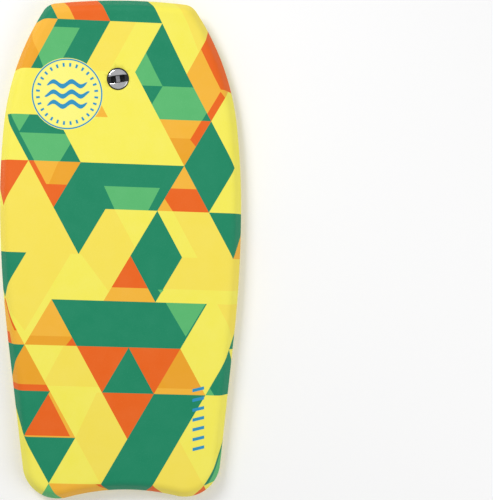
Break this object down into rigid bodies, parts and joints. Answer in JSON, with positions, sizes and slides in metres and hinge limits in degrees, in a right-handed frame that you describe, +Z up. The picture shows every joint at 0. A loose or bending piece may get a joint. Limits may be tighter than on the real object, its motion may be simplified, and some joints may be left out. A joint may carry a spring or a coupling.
{
  "type": "bodyboard",
  "caption": "Foam bodyboard with a crescent tail, bevelled rails, a slick underside and a screw-together leash plug near the nose.",
  "frame": {"origin": "on the ground under the middle of the board's length and width, with the board lying flat on its slick", "axes": "+X across the board, +Y to the nose, +Z up through the deck"},
  "size_m": [0.456, 0.9399, 0.0657],
  "materials": {
    "deck_skin": "closed-cell polyethylene skin, fine embossed grain, printed all over with flat triangles",
    "slick_skin": "smooth yellow slick sheet with a soft satin gloss",
    "edge_foam": "dense cross-linked polyethylene foam, matt",
    "underlay_foam": "soft polyethylene foam sheet, matt",
    "core_foam": "white bead foam, matt",
    "plug_bright": "bright plated plastic",
    "plug_bar": "light grey moulded plastic, satin",
    "washer_rubber": "black rubber, matt",
    "plug_smoke": "smoky dark grey plastic, glossy"
  },
  "bodies": {
    "board": {"deck_skin": "deck_skin", "slick_skin": "slick_skin", "nose_strip": "edge_foam", "tail_strip": "edge_foam", "rail_left": "edge_foam", "rail_right": "edge_foam", "deck_underlay": "underlay_foam", "slick_underlay": "underlay_foam", "foam_core": "core_foam", "plug_cup": "plug_bright", "plug_crossbar": "plug_bar", "plug_deck_washer": "washer_rubber"},
    "plug_travel": {"plug_slick_washer": "washer_rubber"},
    "plug_screw_body": {"plug_screw": "plug_smoke"}
  },
  "joints": [
    {"name": "plug_screw_travel", "type": "slide", "parent": "board", "child": "plug_travel", "axis": [0, 0.0619, -0.9981], "range_m": [0, 0.024]},
    {"name": "plug_screw_turn", "type": "hinge", "parent": "plug_travel", "child": "plug_screw_body", "pos_m": [-0.004, 0.3225, 0.02756], "axis": [0, 0.0619, -0.9981], "range_deg": [0, 2880]}
  ],
  "couplings": [
    {"joint": "plug_screw_turn", "follows": "plug_screw_travel", "rad_per_m": 2094.4}
  ]
}
